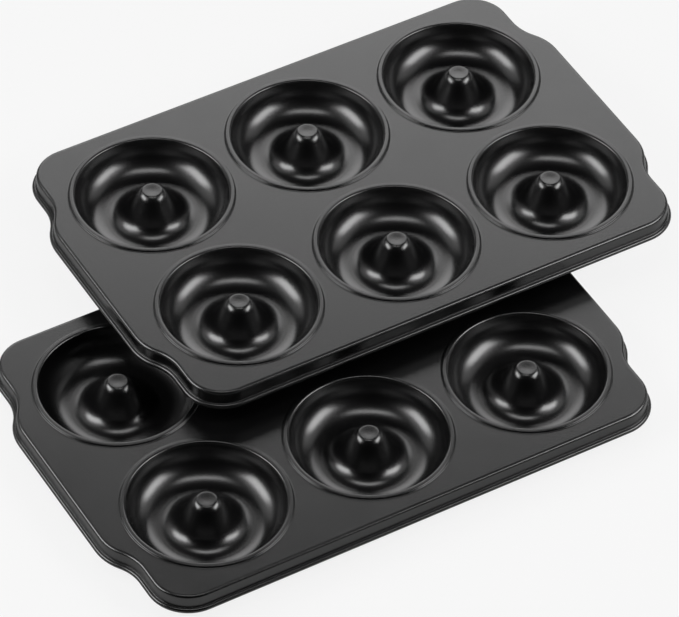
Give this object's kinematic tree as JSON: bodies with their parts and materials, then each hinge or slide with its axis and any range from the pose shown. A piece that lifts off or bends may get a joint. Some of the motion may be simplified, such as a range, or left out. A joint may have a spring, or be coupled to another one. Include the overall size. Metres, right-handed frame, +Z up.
{
  "type": "donut baking pan set",
  "caption": "Set of non-stick donut baking pans pressed from sheet steel, with ring cups round hollow pegs, end handles and a rolled wire edge, the upper pan laid over the lower.",
  "frame": {"origin": "bottom centre of the bounding box of the set, on the surface that the lower pan stands on", "axes": "+X along the long side of the pans, +Y from the front pan towards the back one, +Z up"},
  "size_m": [0.3756, 0.2978, 0.0377],
  "materials": {
    "nonstick_coating": "satin black non-stick coating on both faces",
    "rim_wire_steel": "plain drawn steel wire, hidden in the rolled edge"
  },
  "bodies": {
    "lower_pan": {"lower_pan_sheet": "nonstick_coating", "lower_pan_rim_wire": "rim_wire_steel"},
    "upper_pan": {"upper_pan_sheet": "nonstick_coating", "upper_pan_rim_wire": "rim_wire_steel"}
  },
  "joints": [
    {"name": "upper_pan_lift", "type": "slide", "parent": "lower_pan", "child": "upper_pan", "axis": [0, 0, 1], "range_m": [0, 0.1]}
  ]
}
